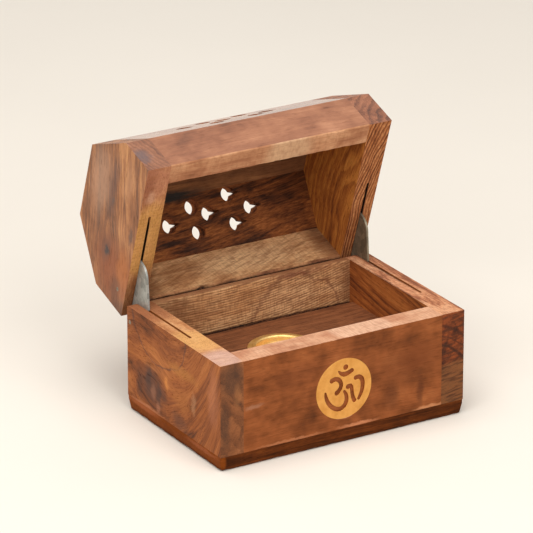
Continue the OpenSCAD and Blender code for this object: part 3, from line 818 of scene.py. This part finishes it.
coneDish = {"node": "cone_dish", "body": "base", "slot": "dish_brass", "steps": 96, "merge": 0.002,
            "lip": 1.0, "lathe": True, "metal": 0.7, "rough": 0.44,
            "bright": (238, 198, 126), "deep": (220, 170, 92),
            "outline": [(0.05, -2.4), (7.4, -2.4), (8.7, -2.2), (9.3, -1.6), (9.5, -0.8), (9.58, 0.1),
                        (9.72, 0.62), (10.02, 0.92), (10.4, 1.0), (10.75, 0.9), (10.98, 0.7), (11.3, 0.6),
                        (12.2, 0.56), (12.6, 0.5), (12.76, 0.36), (12.8, 0.18), (12.74, 0.04), (12.6, 0.0),
                        (10.5, 0.0), (10.4, -0.14), (10.38, -2.9), (10.1, -3.18), (0.05, -3.18)]}
inlay = {"node": "front_disc", "body": "base", "slot": "disc_brass", "lathe": False,
         "bright": (222, 164, 90), "deep": (206, 146, 74), "metal": 1.0, "rough": 0.42,
         "easing": 0.06, "frontGap": 0.01, "sharp": 1.2}   # sharp in radians
brassMarks = {"lathe": 5.0, "rubbed": (0.5, 9, 9), "stain": (0.22, 0.22, 0.22), "depth": 0.05}


def brass(name, cfg, centre):
    metal = Finish(name, {"Metallic": cfg["metal"]})
    spot = metal.node("ShaderNodeTexCoord", out="Object")
    local = metal.node("ShaderNodeMapping", {}, {"Vector": spot, "Scale": toMm,
                                                 "Location": [-c / mm for c in centre]})
    if cfg["lathe"]:                                   # turning lines round the dish
        lines = metal.bands(metal.length(metal.stretch(local, (1, 1, 0))), brassMarks["lathe"], 3.0)
    else:                                              # fine rubbing marks of the polishing
        lines = metal.cloud(local, brassMarks["rubbed"], 3, 0.6)
    stain = metal.cloud(local, brassMarks["stain"], 4, 0.6)
    dull = metal.ease(stain, 0.35, 0.7)
    metal.shade("Base Color", metal.mix(dull, tint(*cfg["bright"]), tint(*cfg["deep"])))
    metal.shade("Roughness", cfg["rough"] + (lines - 0.5) * 0.25 + (stain - 0.5) * 0.3)
    metal.bump(lines, 0.12, brassMarks["depth"] * mm)
    return metal.material


def makeDish(cfg):
    low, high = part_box(cfg["node"])
    floorLevel = high.z - cfg["lip"] * mm
    centre = Vector(((low.x + high.x) / 2, (low.y + high.y) / 2, floorLevel))
    shape = bmesh.new()
    ring = [shape.verts.new(centre + Vector((r * mm, 0, z * mm))) for r, z in cfg["outline"]]
    edges = [shape.edges.new(pair) for pair in zip(ring, ring[1:])]
    bmesh.ops.spin(shape, geom=ring + edges, cent=centre, axis=(0, 0, 1), angle=math.tau,
                   steps=cfg["steps"], use_merge=True)
    bmesh.ops.remove_doubles(shape, verts=shape.verts, dist=cfg["merge"] * mm)
    bmesh.ops.holes_fill(shape, edges=[e for e in shape.edges if e.is_boundary], sides=0)
    bmesh.ops.recalc_face_normals(shape, faces=shape.faces)
    for face in shape.faces:
        face.smooth = True
    finishPiece("coneDish", shape, cfg, [brass("dishBrass", cfg, centre)])


def makeInlay(cfg):
    low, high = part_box(cfg["node"])
    shape = cadCopy(cfg["node"])
    front = low.y + cfg["frontGap"] * mm
    rims = [e for e in shape.edges if e.is_manifold and e.is_convex and e.calc_face_angle() > cfg["sharp"]
            and max(v.co.y for v in e.verts) < front]
    bmesh.ops.bevel(shape, geom=rims, offset=cfg["easing"] * mm, offset_type="OFFSET", affect="EDGES",
                    segments=2, profile=0.5, material=-1, clamp_overlap=True)
    finishPiece("omInlay", shape, cfg, [brass("inlayBrass", cfg, (low + high) / 2)])


makeDish(coneDish)
makeInlay(inlay)

# sheet steel and nails

steelParts = {
    "plateBright": {"nodes": ("hinge_plate_left",), "bright": (180, 181, 174), "deep": (140, 141, 134),
                    "rough": 0.48, "metal": 0.5},
    # the right plate: a darker copy of the plate steel, painted shade
    "plateShaded": {"nodes": ("hinge_plate_right",), "bright": (142, 130, 108), "deep": (110, 100, 82),
                  "rough": 0.48, "metal": 0.5},
    "nailSteel": {"nodes": ("pivot_nail_left", "pivot_nail_right", "lid_nail_left", "lid_nail_right"),
                  "bright": (164, 152, 134), "deep": (120, 110, 96), "rough": 0.55, "metal": 0.8}}
steelMarks = {"spangle": 0.45, "haze": (0.4, 0.4, 0.4), "scratch": (4, 0.3, 4), "depth": 0.05}


def steel(name, cfg):
    metal = Finish(name, {"Metallic": cfg["metal"]})
    place = metal.stretch(metal.node("ShaderNodeTexCoord", out="Object"), toMm)
    spangle = metal.node("ShaderNodeTexVoronoi", {"feature": "F1"},
                         {"Vector": place, "Scale": steelMarks["spangle"]}, "Color")
    patch = metal.node("ShaderNodeSeparateColor", {}, {"Color": spangle}, "Red")
    haze = metal.cloud(place, steelMarks["haze"], 4, 0.65)
    scratch = metal.cloud(place, steelMarks["scratch"], 2, 0.6)
    dull = metal.ease(patch * 0.4 + haze * 0.8, 0.3, 0.85)
    metal.shade("Base Color", metal.mix(dull, tint(*cfg["bright"]), tint(*cfg["deep"])))
    metal.shade("Roughness", cfg["rough"] + (patch - 0.5) * 0.12 + (haze - 0.5) * 0.3)
    metal.bump(scratch + haze, 0.1, steelMarks["depth"] * mm)
    return metal.material


for steelName, steelCfg in steelParts.items():
    coat = steel(steelName, steelCfg)
    for node in steelCfg["nodes"]:
        cad[node].data.materials.clear()
        cad[node].data.materials.append(coat)
print("steel: plates and nails")
